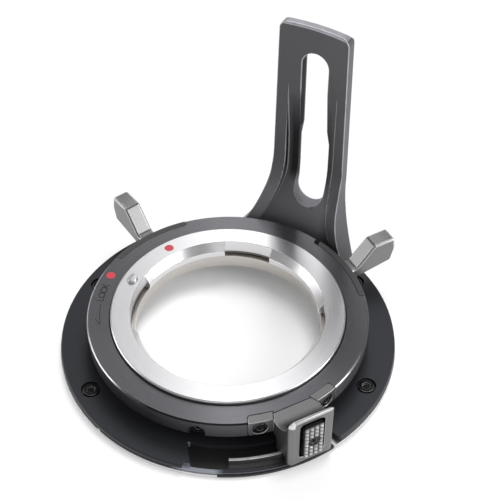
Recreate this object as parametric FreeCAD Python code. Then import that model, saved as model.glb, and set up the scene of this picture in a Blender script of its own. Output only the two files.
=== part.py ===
import FreeCAD, Part
import math
import os

Vec = FreeCAD.Vector
origin = Vec(0, 0, 0)
up = Vec(0, 0, 1)

# Lens mount unit, millimetres and degrees. Origin on the lens axis at the rear seat,
# Z towards the lens, Y towards the support arm. Angles run from X towards Y.

# Heights of the fixed stack
plate_t = 0.9            # rear plate
flange_t = 1.81          # flange disc
hub_h = 3.64             # hub over the disc
upstand_h = 3.15         # upstand over the hub
seat_t = 3.0             # bayonet flange over the upstand
floor_h = 2.4            # ledge under the clamp ring, over the plate
skirt_h = 0.9            # bayonet skirt below its flange
lug_drop = 0.5           # lugs below the skirt
lug_bevel = 2.5          # height of the lugs' conical top

# Radii of the fixed stack, from the throat outward
throat_r = 27.0
lug_in = 1.7             # lugs inside the throat
skirt_t = 1.4
seat_w = 5.5             # lens seat
upstand_out = 1.25       # upstand beyond the seat
hub_out = 1.45           # hub beyond the upstand
ledge_w = 0.8            # ledge under the clamp ring
rim_w = 8.1              # plate beyond the lock ring
rim_step = 0.25          # plate beyond the flange
key_angle = -107.5       # small notch in the plate's rim
key_w = 1.2
key_t = 0.6

# Lock ring and clamp ring
ring_wall = 5.12
ring_h = 5.03
ring_lip_h = 1.63        # inward lip at the top
clamp_in = 1.0           # clamp ring inside the throat
clamp_over = 2.2         # clamp ring beyond the skirt
clamp_rim_t = 1.85
clamp_h = 4.05
clamp_rim_h = 1.45       # rim over the clamp face

# Clearances
run_gap = 0.05           # turning fits and flat faces that pass each other
turn_gap = 0.3           # turned faces of separate bodies
joint_gap = 0.12         # let-in pieces
bolt_gap = 0.1           # screw shanks in plain holes
slide_gap = 0.05         # sliding pins and stems
pass_gap = 0.29          # latch parts that pass over the strike
edge = 0.3               # broken turned edges
past = 1.0               # cutting tools beyond the faces they cut

# Angular layout
arm_angle = 90.0
latch_angle = -33.5
wing_angles = {"right": 57.0, "left": 157.0}
lock_turn = 30.0         # lock ring travel, clockwise to open
lug_spans = [(34.5, 91.5), (121.5, 180.5), (223.5, 368.5)]
drive_angles = [-72.5, 107.5, 197.5]
bayonet_screw_angles = [30.0, 135.0, 225.0, -45.0]
flange_screw_axis = 30.0
flange_screw_spread = 27.7

# Notch in the flange and strike below it
notch_set = 1.0          # notch behind the housing's foot
notch_span = (-75.3, -22.3)
notch_side = -76.4       # inner corner of the notch's straight left side
notch_lean = 25.0        # that side's lean from the radius
lip_t = 1.5              # rim left outside the notch
lip_h = 0.5
lip_end = -25.0
notch_corner = 1.5       # rounded corner of the rim beside the housing
strike_lap = 4.2         # strike under the flange
strike_span = (-64.0, -24.5)
strike_tail = 13.5       # degrees of the strike inside the plate's rim
block_set = 3.3          # block from the notch's inner wall
block_t = 1.0            # crest of the block
block_foot = 0.5         # slope of its front
block_shelf = 0.2        # shelf over the lip
block_span = (-60.3, -36.5)

# Screws: head radius, head height, shank radius, key size across flats
flange_screw = (2.1, 1.0, 1.2, 2.0)
bayonet_screw = (1.2, 1.2, 0.6, 1.0)
drive_screw = (1.6, 1.8, 0.8, 1.5)
wing_screw = (1.2, 0.7, 0.6, 1.0)
ear_screw = (1.6, 1.2, 0.9, 1.5)
knob_screw = (1.55, 0.9, 0.7, 1.3)
arm_screw = (1.8, 0.8, 1.0, 1.3)
strike_screw = (1.5, 0.7, 0.8, 1.2)
flange_screw_in = 5.0    # screw axis from the plate's rim
flange_bore_r = 2.7      # counterbores of the flange screws
flange_bore_h = 1.1
bayonet_screw_bite = 1.6
drive_z_over_hub = 1.15
drive_sink = 3.32        # seat of the drive screws inside the ring's wall
drive_notch_r = 2.2
arm_screw_wall = 1.4     # screw axis from the front of the arm's web
arm_screw_spread = 12.0
arm_screw_bite = 4.2
strike_screw_spread = 14.0
strike_screw_bite = 1.3

# Index dots, lens lock pin and leaf springs
dot_t = 0.4
ring_dot_r = 1.35
ring_dot_in = 2.6        # dot from the ring's wall
ring_dot_angle = 186.0
seat_dot_r = 1.25
seat_dot_angle = 154.5
pin_r = 1.45
pin_set = 2.5            # pin axis from the throat
pin_angle = 186.0
pin_out = 1.0            # stroke above the seat
pin_body = 1.6           # length inside the seat
pin_wall = 0.4
pin_roof = 1.0
pin_flat = 0.2           # flat left beside and below the pin's slope
pin_floor = 0.3          # metal left under the pin hole
leaf_t = 0.25
leaf_w = 1.1
leaf_lap = 4.0           # degrees under the lugs

# Wing levers
foot_t = 1.72
foot_h = 3.9
foot_half = 18.3
foot_corner = 1.0
foot_relief = 2.0        # extra pocket at the right lever's far end
blade_t = 5.0
blade_edge = 0.5
blade_seat = 0.3         # blade let into the foot
blade_set = 1.3          # slope's start beyond the ring's wall
blade_out = 14.2         # tip beyond the ring's wall
blade_rise = 6.7         # crown over the ring's top
blade_crown = 6.6        # length of the crown
crown_in = 0.6           # crown's end inside the tip
crown_fall = 0.2
tip_drop = 3.9           # tip below the crown
heel_in = 1.2            # lower corner inside the tip
heel_drop = 8.3
blade_root = 3.6         # underside below the ring's top, near the ring
root_out = 2.0
wing_screw_spread = 9.0
wing_screw_drop = 3.0    # below the ring's top

# Release housing
ear_t = 2.56
ear_half = 19.3
ear_corner = 1.0
ear_lap = 0.3            # straight joint inside the ears
house_out = 0.1          # flat face beyond the plate
house_half = 6.65
house_neck = 5.5         # half width at the joint with the ring
house_wall = 1.2         # wall behind the plunger, down in the notch
house_corner = 1.5
face_corner = 1.9        # upper corners of the flat face
house_rise = 7.1         # top over the ring's top
house_drop = 0.15        # bottom over the notch's lip
brow_t = 0.8             # rounded top edge
recess_half = 3.65
recess_low = 1.85        # recess edge over the housing's bottom
recess_h = 13.3
recess_t = 1.05
recess_corner = 1.3
ear_screw_spread = 14.7
ear_screw_drop = 2.8
ear_bore_r = 2.0

# Release button, plunger and spring
press = 0.8              # button travel
pad_gap = 0.85           # round the pad
pad_corner = 0.6
pad_t = 0.95
knob_h = 0.65            # pyramids
knob_cols = 4
knob_rows = 8
knob_clear_r = 1.75
stem_r = 1.2
stem_drop = 0.3          # stem axis below the pad's middle
spring_pocket_r = 2.5
spring_pocket_t = 1.95
guide_t = 0.8            # wall that guides the stem
plunger_t = 0.9
plunger_half = 2.3
plunger_head = 1.2       # plate over the stem's axis
spring_t = 0.3           # spring discs, measured across the axis
spring_gap = 0.15        # round the spring
spring_eye_r = 0.35      # hole in the pin's spring
plunger_folds = 4
pin_folds = 6

# Support arm
arm_set = 1.18           # front of the arm beyond the plate
arm_t = 3.4
arm_top = 76.1
arm_bevel = 0.4          # front of the top edge
arm_back_bevel = 1.0
arm_corner = 2.2
arm_half_top = 10.4
arm_half_low = 11.2
arm_flare_z = 26.0
arm_foot_spread = 29.0   # degrees each way
arm_foot_set = 2.08      # foot from the lock ring
arm_back_z = 30.0        # back leaves the straight here
arm_back_foot_z = 5.0
rib_w = 3.7
rib_top_z = 32.0
rib_foot_z = 7.0
web_sink = 1.8
web_foot_sink = 2.2
web_top_z = 29.0
web_foot_z = 4.0
web_full_z = 37.0
web_fade_z = 55.5
slot_half = 4.0
slot_wide_half = 4.65
slot_shift = 0.4         # slot to the right of the arm's middle
slot_top_z = 68.0
slot_low_z = 14.8
slot_step = (42.0, 37.2)

# Derived heights and radii
disc_z = plate_t + flange_t
hub_z = disc_z + hub_h
upstand_z = hub_z + upstand_h
seat_z = upstand_z + seat_t
ledge_z = plate_t + floor_h
ring_z = hub_z + run_gap
ring_top = ring_z + ring_h
lug_r = throat_r - lug_in
skirt_r = throat_r + skirt_t
seat_r = throat_r + seat_w
clamp_in_r = throat_r - clamp_in
clamp_out_r = skirt_r + clamp_over
rear_bore_r = clamp_out_r - ledge_w
upstand_in_r = clamp_out_r + turn_gap
upstand_r = seat_r + upstand_out
hub_r = upstand_r + hub_out
ring_in_r = upstand_r + run_gap
ring_lip_r = seat_r + turn_gap
ring_r = ring_in_r + ring_wall
plate_r = ring_r + rim_w
flange_r = plate_r - rim_step
lip_in_r = plate_r - lip_t
flange_screw_r = plate_r - flange_screw_in
bayonet_screw_r = (upstand_in_r + seat_r) / 2
drive_seat_r = ring_r - drive_sink
ring_dot_at = ring_r - ring_dot_in
seat_dot_at = (throat_r + seat_r) / 2
pin_at = throat_r + pin_set
skirt_z = upstand_z - skirt_h
lug_z = skirt_z - lug_drop
clamp_z = ledge_z + 2 * run_gap
clamp_face_z = clamp_z + clamp_h
drive_z = hub_z + drive_z_over_hub
lip_z = plate_t + lip_h
block_z = disc_z
foot_in_r = ring_r - foot_t
foot_z = ring_top - foot_h
ear_in_r = ring_r - ear_t
house_d = plate_r + house_out
house_z = lip_z + house_drop
house_top = ring_top + house_rise
recess_d = house_d - recess_t
recess_z = house_z + recess_low + recess_h / 2
stem_z = recess_z - stem_drop
pad_back = recess_d + press + 2 * run_gap
pad_face = pad_back + pad_t
pocket_d = recess_d - spring_pocket_t
cavity_out = pocket_d - guide_t
plunger_out = cavity_out - run_gap
plunger_in = plunger_out - plunger_t
cavity_in = plunger_in - press - run_gap
house_foot_d = cavity_in - house_wall
notch_in_r = house_foot_d - notch_set
strike_in_r = notch_in_r - strike_lap
strike_screw_r = notch_in_r - strike_lap / 2
block_in_r = notch_in_r + block_set
tooth_z = block_z + pass_gap
channel_z = tooth_z + 2 * run_gap
arm_in_r = plate_r + arm_set
arm_out_r = arm_in_r + arm_t
arm_foot_in_r = ring_r + arm_foot_set
arm_foot_half = arm_foot_in_r * math.sin(math.radians(arm_foot_spread))
web_in_r = arm_in_r + web_sink
web_foot_r = arm_foot_in_r + web_foot_sink
arm_screw_r = web_foot_r + arm_screw_wall


def polar(r, angle, z=0.0):
    a = math.radians(angle)
    return Vec(r * math.cos(a), r * math.sin(a), z)


def arc_angle(length, r):
    return math.degrees(length / r)


def wire(points, place):
    # a step is a point, or the middle and end of an arc
    edges = []
    at = points[0]
    for step in points[1:] + [points[0]]:
        if isinstance(step[0], tuple):
            middle, end = step
            edges.append(Part.Arc(place(at), place(middle), place(end)).toShape())
        else:
            end = step
            if (place(at) - place(end)).Length > 1e-6:
                edges.append(Part.makeLine(place(at), place(end)))
        at = end
    return Part.Wire(edges)


def revolved(points, first=0.0, sweep=360.0):
    # outline of radius and height, turned about the lens axis
    face = Part.Face(wire(points, lambda p: Vec(p[0], 0, p[1])))
    solid = face.revolve(origin, up, sweep)
    solid.rotate(origin, up, first)
    return solid


def sector(r0, r1, z0, z1, first=0.0, last=360.0):
    return revolved([(r0, z0), (r1, z0), (r1, z1), (r0, z1)], first, last - first)


def rounded_sector(r0, r1, z0, z1, first, last, corner):
    # sector with its two inner corners rounded, seen from above
    turn_r = r0 + corner
    bend = math.degrees(math.asin(corner / turn_r))
    side_r = turn_r * math.cos(math.radians(bend))

    def flat(p):
        return (p.x, p.y)

    def knee(angle, way):
        towards = math.radians(angle - way * (135 - bend / 2))
        centre = polar(turn_r, angle + way * bend)
        return (centre.x + corner * math.cos(towards), centre.y + corner * math.sin(towards))

    middle = (first + last) / 2
    return upright([
        flat(polar(r1, first)), (flat(polar(r1, middle)), flat(polar(r1, last))), flat(polar(side_r, last)),
        (knee(last, -1), flat(polar(r0, last - bend))),
        (flat(polar(r0, middle)), flat(polar(r0, first + bend))),
        (knee(first, 1), flat(polar(side_r, first)))], z0, z1)


def across(points, half):
    # outline of distance and height, both ways from the middle plane
    face = Part.Face(wire(points, lambda p: Vec(p[0], -half, p[1])))
    return face.extrude(Vec(0, 2 * half, 0))


def along(points, d0, d1):
    # outline of width and height, from one distance to another
    face = Part.Face(wire(points, lambda p: Vec(d0, p[0], p[1])))
    return face.extrude(Vec(d1 - d0, 0, 0))


def upright(points, z0, z1):
    face = Part.Face(wire(points, lambda p: Vec(p[0], p[1], z0)))
    return face.extrude(Vec(0, 0, z1 - z0))


def turned(shape, angle):
    copy = shape.copy()
    copy.rotate(origin, up, angle)
    return copy


def rod(r, at, direction, length):
    return Part.makeCylinder(r, length, at, direction)


def spoke(r, angle, z, r0, r1):
    return rod(r, polar(r0, angle, z), polar(1, angle), r1 - r0)


def post(r, at_r, angle, z0, z1):
    return rod(r, polar(at_r, angle, z0), up, z1 - z0)


def rounded_box(u0, u1, z0, z1, r):
    k = r * (1 - math.sqrt(0.5))
    return [(u0 + r, z0), (u1 - r, z0), ((u1 - k, z0 + k), (u1, z0 + r)), (u1, z1 - r),
            ((u1 - k, z1 - k), (u1 - r, z1)), (u0 + r, z1), ((u0 + k, z1 - k), (u0, z1 - r)),
            (u0, z0 + r), ((u0 + k, z0 + k), (u0 + r, z0))]


def fall(top, low):
    # arc that leaves the upper point straight down and ends at the lower one
    dr = low[0] - top[0]
    dz = top[1] - low[1]
    r = (dr * dr + dz * dz) / (2 * dr)
    half = math.asin(dz / r) / 2
    middle = (top[0] + r * (1 - math.cos(half)), top[1] - abs(r) * math.sin(abs(half)))
    return (middle, low)


def sweep_in(top, low):
    # two equal arcs, upright at both ends
    joint = ((top[0] + low[0]) / 2, (top[1] + low[1]) / 2)
    upper = fall(top, joint)
    lower_middle = (top[0] + low[0] - upper[0][0], top[1] + low[1] - upper[0][1])
    return [upper, (lower_middle, low)]


def screw(size, length, sink=0.0):
    # head upward from its seat, shank downward; sink makes a countersunk head
    head_r, head_h, shank_r, key = size
    if sink:
        head = Part.makeCone(shank_r, head_r, head_h, Vec(0, 0, -head_h), up)
        top = 0.0
    else:
        head = Part.makeCylinder(head_r, head_h)
        top = head_h
    body = head.fuse(Part.makeCylinder(shank_r, length, Vec(0, 0, -length)))
    corner = key / math.sqrt(3)
    hexagon = [(corner * math.cos(math.radians(60 * i)), corner * math.sin(math.radians(60 * i)))
               for i in range(6)]
    socket = upright(hexagon, top - 0.6 * head_h, top + 1)
    return body.cut(socket).removeSplitter()


def placed(shape, at, direction):
    copy = shape.copy()
    copy.Placement = FreeCAD.Placement(at, FreeCAD.Rotation(up, direction))
    return copy


def disc_spring(r_in, r_out, height, folds):
    # stack of conical spring discs joined at their edges
    step = height / folds
    inner = [((r_in, r_out - spring_t)[i % 2], i * step) for i in range(folds + 1)]
    outer = [(r + spring_t, z) for r, z in reversed(inner)]
    return revolved(inner + outer)


def cut_all(body, tools):
    return body.cut(Part.makeCompound(tools)).removeSplitter()


def fuse_all(shapes):
    return shapes[0].multiFuse(shapes[1:]).removeSplitter()


flange_screw_angles = [flange_screw_axis + side + spread for side in (0, 180)
                       for spread in (-flange_screw_spread, flange_screw_spread)]
arm_screw_angles = [arm_angle - arm_screw_spread, arm_angle + arm_screw_spread]
strike_mid = sum(strike_span) / 2
strike_screw_angles = [strike_mid - strike_screw_spread, strike_mid + strike_screw_spread]
ear_screw_angles = [latch_angle - ear_screw_spread, latch_angle + ear_screw_spread]
wing_screw_angles = [a + s for a in wing_angles.values()
                     for s in (-wing_screw_spread, wing_screw_spread)]


def strike_floor(gap, low, high):
    # plate of the strike: out to the rim over its span, inside the rim along its tail
    slack = arc_angle(gap, plate_r)
    first, last = strike_span[0] - slack, strike_span[1] + slack
    main = sector(strike_in_r - gap, plate_r, low, high, first, last)
    tail = sector(strike_in_r - gap, lip_in_r + gap, low, high, first - strike_tail, last)
    return main.fuse(tail).removeSplitter()


def make_rear_plate():
    body = sector(rear_bore_r, plate_r, 0, plate_t)
    rim = sector(lip_in_r, plate_r + past, -past, plate_t + past, *strike_span)
    key = arc_angle(key_w / 2, plate_r)
    tools = [strike_floor(joint_gap, -past, plate_t + past), rim,
             sector(plate_r - key_t, plate_r + past, -past, plate_t + past,
                    key_angle - key, key_angle + key)]
    for a in flange_screw_angles:
        tools.append(post(flange_screw[2], flange_screw_r, a, -past, plate_t + past))
    for a in arm_screw_angles:
        tools.append(post(arm_screw[2] + bolt_gap, arm_screw_r, a, -past, plate_t + past))
        tools.append(Part.makeCone(arm_screw[0], arm_screw[2], arm_screw[1], polar(arm_screw_r, a), up))
    return cut_all(body, tools)


def make_base_flange():
    body = revolved([
        (rear_bore_r, plate_t), (flange_r, plate_t), (flange_r, disc_z - edge), (flange_r - edge, disc_z),
        (hub_r, disc_z), (hub_r, hub_z), (upstand_r, hub_z), (upstand_r, upstand_z),
        (upstand_in_r, upstand_z), (upstand_in_r, ledge_z), (rear_bore_r, ledge_z)])
    hollow = sector(notch_in_r, lip_in_r, plate_t - past, disc_z + past,
                    notch_side - notch_lean, notch_span[1])
    corner_at = polar(notch_in_r, notch_side)
    way = polar(plate_r, notch_side + notch_lean)
    beyond = polar(plate_r, notch_side - 2 * notch_lean)
    side = upright([(p.x, p.y) for p in (corner_at - way, corner_at + way, corner_at + way + beyond,
                                         corner_at - way + beyond)], plate_t - 2 * past, disc_z + 2 * past)
    bend_r = flange_r - notch_corner + run_gap
    bend_angle = notch_span[1] + arc_angle(notch_corner - run_gap, bend_r)
    corner = sector(bend_r, plate_r + past, plate_t - past, disc_z + past,
                    notch_span[1] - run_gap, bend_angle)
    tools = [corner.cut(post(notch_corner, bend_r, bend_angle, plate_t - 2 * past, disc_z + 2 * past)),
             hollow.cut(side),
             sector(lip_in_r, plate_r + past, lip_z, disc_z + past, *notch_span),
             sector(lip_in_r, plate_r + past, plate_t - past, disc_z + past, lip_end, notch_span[1])]
    for a in flange_screw_angles:
        tools.append(post(flange_bore_r, flange_screw_r, a, disc_z - flange_bore_h, disc_z + 1))
        tools.append(post(flange_screw[2] + bolt_gap, flange_screw_r, a, plate_t - 1, disc_z))
    for a in bayonet_screw_angles:
        tools.append(post(bayonet_screw[0] + bolt_gap, bayonet_screw_r, a, plate_t - 1,
                          plate_t + bayonet_screw[1] + bolt_gap))
        tools.append(post(bayonet_screw[2], bayonet_screw_r, a, plate_t, upstand_z + 1))
    for a in drive_angles:
        slack = arc_angle(drive_screw[2] + turn_gap, upstand_in_r)
        half = drive_screw[2] + turn_gap / 2
        tools.append(sector(upstand_in_r - 0.5, upstand_r + 0.5, drive_z - half, drive_z + half,
                            a - lock_turn - slack, a + slack))
    for a in arm_screw_angles:
        tools.append(post(arm_screw[2] + bolt_gap, arm_screw_r, a, plate_t - 1, disc_z + 1))
    for a in strike_screw_angles:
        tools.append(post(strike_screw[2], strike_screw_r, a, plate_t - 1, plate_t + strike_screw_bite))
    return cut_all(body, tools)


def make_latch_strike():
    floor = strike_floor(0, 0, plate_t)
    crest = block_in_r + block_t
    block = revolved([
        (block_in_r, 0), (block_in_r, block_z - edge), (block_in_r + edge, block_z), (crest, block_z),
        (crest + block_foot, lip_z + block_shelf), (lip_in_r - joint_gap, lip_z), (lip_in_r - joint_gap, 0)],
        block_span[0], block_span[1] - block_span[0])
    body = fuse_all([floor, block])
    tools = []
    for a in strike_screw_angles:
        tools.append(post(strike_screw[2] + bolt_gap, strike_screw_r, a, -1, plate_t + 1))
        tools.append(Part.makeCone(strike_screw[0], strike_screw[2], strike_screw[1],
                                   polar(strike_screw_r, a), up))
    return cut_all(body, tools)


def make_front_bayonet():
    ring = revolved([
        (throat_r, skirt_z), (skirt_r, skirt_z), (skirt_r, upstand_z), (seat_r, upstand_z),
        (seat_r, seat_z - edge), (seat_r - edge, seat_z), (throat_r, seat_z)])
    lug = [(throat_r, seat_z), (lug_r, seat_z - lug_bevel), (lug_r, lug_z), (skirt_r, lug_z),
           (skirt_r, upstand_z), (throat_r + skirt_t / 2, seat_z)]
    body = fuse_all([ring] + [revolved(lug, first, last - first) for first, last in lug_spans])
    tools = [post(pin_r + slide_gap, pin_at, pin_angle, upstand_z + pin_floor, seat_z + 1),
             post(seat_dot_r, seat_dot_at, seat_dot_angle, seat_z - dot_t, seat_z + past)]
    for a in bayonet_screw_angles:
        tools.append(post(bayonet_screw[2], bayonet_screw_r, a, upstand_z - 1,
                          upstand_z + bayonet_screw_bite))
    return cut_all(body, tools)


def make_leaf_springs():
    leaves = []
    ends = lug_spans[1:] + [(lug_spans[0][0] + 360, 0)]
    for (first, last), (following, rest) in zip(lug_spans, ends):
        leaves.append(sector(skirt_r - leaf_w - 0.1, skirt_r - 0.1, lug_z - leaf_t, lug_z,
                             last - leaf_lap, following + leaf_lap))
    return Part.makeCompound(leaves)


def make_lens_lock_pin():
    low = seat_z - pin_body
    high = seat_z + pin_out
    pin = post(pin_r, pin_at, 0, low, high)
    bore = post(pin_r - pin_wall, pin_at, 0, low - past, high - pin_roof)
    crest = pin_at + pin_flat
    rim = pin_at + pin_r
    slope = across([(crest, high + past), (rim + past, high + past), (rim + past, seat_z + pin_flat),
                    (rim, seat_z + pin_flat), (crest, high)], pin_r + past)
    return turned(pin.cut(bore).cut(slope), pin_angle)


def make_lock_pin_spring():
    low = upstand_z + pin_floor
    high = seat_z + pin_out - pin_roof
    spring = disc_spring(spring_eye_r, pin_r - pin_wall - slide_gap, high - low, pin_folds)
    spring.translate(polar(pin_at, pin_angle, low))
    return spring


def make_clamp_ring():
    body = revolved([
        (clamp_in_r, clamp_z), (clamp_out_r, clamp_z), (clamp_out_r, clamp_face_z + clamp_rim_h),
        (clamp_out_r - clamp_rim_t, clamp_face_z + clamp_rim_h), (clamp_out_r - clamp_rim_t, clamp_face_z),
        (clamp_in_r, clamp_face_z)])
    holes = [spoke(drive_screw[2], a, drive_z, clamp_out_r - clamp_rim_t, clamp_out_r + past)
             for a in drive_angles]
    return cut_all(body, holes)


def ear_outline(gap, over):
    # let-in ears with a straight joint in the middle; over runs past the ring's faces
    slack = arc_angle(gap, ring_r)
    ears = rounded_sector(ear_in_r - gap, ring_r + over, ring_z - over, ring_top + over,
                          -ear_half - slack, ear_half + slack, ear_corner + gap)
    middle = ear_in_r + ear_lap - gap
    inside = ear_in_r - 2 * past
    straight = upright([(inside, gap - house_neck), (middle, gap - house_neck), (middle, house_neck - gap),
                        (inside, house_neck - gap)], ring_z - 2 * past, ring_top + 2 * past)
    return ears.cut(straight)


def make_lock_ring():
    body = revolved([
        (ring_in_r, ring_z), (ring_r, ring_z), (ring_r, ring_top - edge), (ring_r - edge, ring_top),
        (ring_lip_r, ring_top), (ring_lip_r, ring_top - ring_lip_h), (ring_in_r, ring_top - ring_lip_h)])
    tools = [turned(ear_outline(joint_gap, past), latch_angle),
             post(ring_dot_r, ring_dot_at, ring_dot_angle, ring_top - dot_t, ring_top + past)]
    slack = foot_half + arc_angle(joint_gap, ring_r)
    for side, a in wing_angles.items():
        far = foot_relief if side == "right" else 0
        tools.append(rounded_sector(foot_in_r - joint_gap, ring_r + past, foot_z - joint_gap,
                                    ring_top + past, a - slack, a + slack + far, foot_corner + joint_gap))
    for a in drive_angles:
        tools.append(spoke(drive_notch_r, a, drive_z, drive_seat_r, ring_r + past))
        tools.append(spoke(drive_screw[2] + bolt_gap, a, drive_z, ring_in_r - past, drive_seat_r + past))
    z = ring_top - wing_screw_drop
    for a in wing_screw_angles:
        tools.append(spoke(wing_screw[2] + bolt_gap, a, z, ring_in_r - past, foot_in_r))
        tools.append(spoke(wing_screw[0] + bolt_gap, a, z, ring_in_r - past,
                           ring_in_r + wing_screw[1] + bolt_gap))
    for a in ear_screw_angles:
        tools.append(spoke(ear_screw[2], a, ring_top - ear_screw_drop, ring_in_r + 0.4, ear_in_r))
    return cut_all(body, tools)


def make_wing_lever(angle):
    tip = ring_r + blade_out
    crown = ring_top + blade_rise
    inner = foot_in_r + blade_seat
    blade = across([
        (inner, ring_top), (ring_r + blade_set, ring_top),
        (tip - blade_crown - crown_in, crown - crown_fall), (tip - crown_in, crown),
        (tip, crown - tip_drop), (tip - heel_in, crown - heel_drop),
        (ring_r + root_out, ring_top - blade_root), (inner, foot_z + blade_seat)], blade_t / 2)
    outer = [e for e in blade.Edges if e.BoundBox.XMax > ring_r + 0.1]
    blade = blade.makeChamfer(blade_edge, outer)
    foot = rounded_sector(foot_in_r, ring_r, foot_z, ring_top, -foot_half, foot_half, foot_corner)
    body = turned(foot.fuse(blade).removeSplitter(), angle)
    z = ring_top - wing_screw_drop
    holes = [spoke(wing_screw[2], angle + s, z, foot_in_r - 1, ring_r - 0.4)
             for s in (-wing_screw_spread, wing_screw_spread)]
    return cut_all(body, holes)


def make_release_housing():
    brow = brow_t * (1 - math.sqrt(0.5))
    back_r = house_rise
    throat_d = house_d - brow_t - back_r
    dip = back_r * math.sqrt(0.5)
    side = across([
        (ear_in_r + ear_lap, ring_z), (house_foot_d, ring_z), (house_foot_d, house_z), (house_d, house_z),
        (house_d, house_top - brow_t), ((house_d - brow, house_top - brow), (house_d - brow_t, house_top)),
        ((throat_d + dip, house_top - dip), (throat_d, ring_top)), (ear_in_r + ear_lap, ring_top)],
        house_half + past)
    k = house_corner * (1 - math.sqrt(0.5))
    w = house_half
    plan = upright([
        (ear_in_r + ear_lap, -house_neck), (ring_r, -w), (house_d - house_corner, -w),
        ((house_d - k, k - w), (house_d, house_corner - w)), (house_d, w - house_corner),
        ((house_d - k, w - k), (house_d - house_corner, w)), (ring_r, w), (ear_in_r + ear_lap, house_neck)],
        house_z - past, house_top + past)
    c = w + run_gap
    crown = house_top + run_gap
    m = face_corner * (1 - math.sqrt(0.5))
    front = along([(-c, house_z - past), (c, house_z - past), (c, crown - face_corner),
                   ((c - m, crown - m), (c - face_corner, crown)), (face_corner - c, crown),
                   ((m - c, crown - m), (-c, crown - face_corner))], ear_in_r, house_d + past)
    body = side.common(plan).common(front).fuse(ear_outline(0, 0)).removeSplitter()
    low = house_z + recess_low
    tools = [along(rounded_box(-recess_half, recess_half, low, low + recess_h, recess_corner),
                   recess_d, house_d + past),
             rod(spring_pocket_r, Vec(pocket_d, 0, stem_z), Vec(1, 0, 0), recess_t + spring_pocket_t),
             rod(stem_r + slide_gap, Vec(cavity_in, 0, stem_z), Vec(1, 0, 0), pocket_d - cavity_in + 0.5),
             across([(cavity_in, house_z - past), (cavity_out, house_z - past),
                     (cavity_out, stem_z + plunger_head + 0.1), (cavity_in, stem_z + plunger_head + 0.1)],
                    plunger_half + slide_gap),
             sector(block_in_r - pass_gap, lip_in_r + joint_gap, house_z - past, channel_z,
                    -ear_half, ear_half)]
    z = ring_top - ear_screw_drop
    for s in (-ear_screw_spread, ear_screw_spread):
        tools.append(spoke(ear_screw[2] + bolt_gap, s, z, ear_in_r - past, ring_r + past))
        tools.append(spoke(ear_bore_r, s, z, ring_r - ear_screw[1] - 0.1, ring_r + 1))
    for s in (-1, 1):
        tools.append(upright([(ear_in_r, s * (house_neck + 0.05)), (ring_r + 0.2, s * (w + 0.25)),
                              (ring_r + 0.2, s * (w + 0.05)), (ear_in_r, s * (house_neck - 0.15))],
                             ring_top - 0.35, ring_top + 1))
    return turned(cut_all(body, tools), latch_angle)


def make_release_button():
    half = recess_half - pad_gap
    high = recess_h / 2 - pad_gap
    pad = along(rounded_box(-half, half, recess_z - high, recess_z + high, pad_corner),
                pad_back, pad_face)
    stem = rod(stem_r, Vec(plunger_out, 0, stem_z), Vec(1, 0, 0), pad_back - plunger_out + pad_t / 2)
    step_u = 2 * half / knob_cols
    step_z = 2 * high / knob_rows
    knobs = []
    for i in range(knob_cols):
        for j in range(knob_rows):
            u = (i + 0.5) * step_u - half
            z = (j + 0.5) * step_z - high + recess_z
            a, b = 0.46 * step_u, 0.46 * step_z
            knob = Part.makeWedge(-a, 0, -b, -0.25 * b, -0.25 * a, a, knob_h, b, 0.25 * b, 0.25 * a)
            knob.rotate(origin, up, -90)
            knob.translate(Vec(pad_face, u, z))
            knobs.append(knob)
    clear = rod(knob_clear_r, Vec(pad_back + 0.2, 0, stem_z), Vec(1, 0, 0), 5)
    hole = rod(knob_screw[2] + bolt_gap, Vec(plunger_in, 0, stem_z), Vec(1, 0, 0), 9)
    body = fuse_all([pad, stem] + knobs)
    return turned(cut_all(body, [clear, hole]), latch_angle)


def make_plunger():
    plate = across([(plunger_in, tooth_z), (plunger_out, tooth_z),
                    (plunger_out, stem_z + plunger_head), (plunger_in, stem_z + plunger_head)], plunger_half)
    hole = rod(knob_screw[2], Vec(plunger_in - 1, 0, stem_z), Vec(1, 0, 0), plunger_t + 2)
    return turned(plate.cut(hole), latch_angle)


def make_plunger_spring():
    length = pad_back - press - pocket_d - run_gap
    spring = disc_spring(stem_r + spring_gap, spring_pocket_r - spring_gap, length, plunger_folds)
    spring.Placement = FreeCAD.Placement(Vec(pocket_d, 0, stem_z), FreeCAD.Rotation(up, Vec(1, 0, 0)))
    return turned(spring, latch_angle)


def arm_half_outline(inset, low_z):
    # right-hand edge from top to foot, moved inward by the inset
    flare = fall((arm_half_low - inset, arm_flare_z), (arm_foot_half - inset, disc_z))
    foot = (arm_foot_half - inset, low_z)
    return [(arm_half_low - inset, arm_flare_z), flare, foot]


def mirrored(steps):
    # the same edge from foot to top on the other side
    ends = [s[1] if isinstance(s[0], tuple) else s for s in steps]
    back = [(-ends[-1][0], ends[-1][1])]
    for i in range(len(steps) - 1, 0, -1):
        end = (-ends[i - 1][0], ends[i - 1][1])
        if isinstance(steps[i][0], tuple):
            back.append(((-steps[i][0][0], steps[i][0][1]), end))
        else:
            back.append(end)
    return back


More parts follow.
